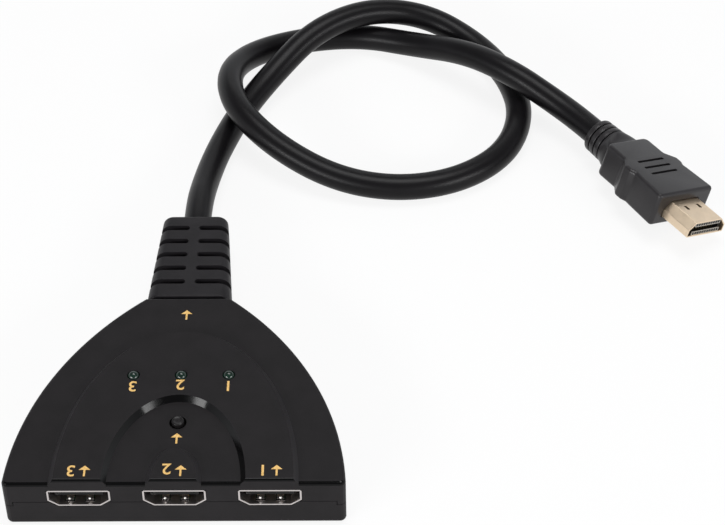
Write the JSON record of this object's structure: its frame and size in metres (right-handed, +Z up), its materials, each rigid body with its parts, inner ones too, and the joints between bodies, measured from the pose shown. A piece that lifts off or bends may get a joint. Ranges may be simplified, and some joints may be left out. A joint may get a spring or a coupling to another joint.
{
  "type": "video switch box with captive cable",
  "caption": "Flat fan-shaped video switch box with sockets along its front, status lamps, a push button and a captive cable that ends in a plug.",
  "frame": {"origin": "centre of the case's flat underside, midway between its front face and its flat back", "axes": "+Z up through the top, +Y from the sockets towards the cable, +X to the right of someone who faces the sockets"},
  "size_m": [0.1826, 0.1896, 0.0167],
  "materials": {
    "case_plastic": "fine satin moulded grain",
    "board": "solder mask",
    "socket_metal": "nickel plated, folded",
    "tinned_metal": "tin plated",
    "black_plastic": "moulded",
    "ceramic": "fired",
    "contact_gold": "gold plated",
    "gold_metal": "pale gold plate, satin",
    "lamp_lens": "dark tinted lens",
    "button_plastic": "satin gloss",
    "plunger_plastic": "moulded",
    "soft_plastic": "moulded vinyl",
    "cable_jacket": "satin extruded vinyl",
    "wire_jacket": "extruded",
    "plug_plastic": "moulded vinyl"
  },
  "bodies": {
    "case": {"bottom_shell": "case_plastic", "top_shell": "case_plastic", "main_board": "board", "socket_1_shell": "socket_metal", "socket_1_block": "black_plastic", "socket_1_contacts": "contact_gold", "socket_2_shell": "socket_metal", "socket_2_block": "black_plastic", "socket_2_contacts": "contact_gold", "socket_3_shell": "socket_metal", "socket_3_block": "black_plastic", "socket_3_contacts": "contact_gold", "lamp_1": "lamp_lens", "lamp_2": "lamp_lens", "lamp_3": "lamp_lens", "lamp_leads": "tinned_metal", "switch_body": "black_plastic", "switch_cover": "socket_metal", "switch_chip": "black_plastic", "chip_pins": "tinned_metal", "board_parts": "ceramic", "cable_boot": "soft_plastic", "inner_wires": "wire_jacket", "cable": "cable_jacket", "plug_body": "plug_plastic", "plug_shell": "gold_metal", "plug_core": "black_plastic", "plug_contacts": "contact_gold"},
    "button": {"select_button": "button_plastic", "switch_plunger": "plunger_plastic"}
  },
  "joints": [
    {"name": "button_press", "type": "slide", "parent": "case", "child": "button", "axis": [0, 0, 1], "range_m": [-0.00025, 0], "stiffness_N_per_m": 1600}
  ]
}
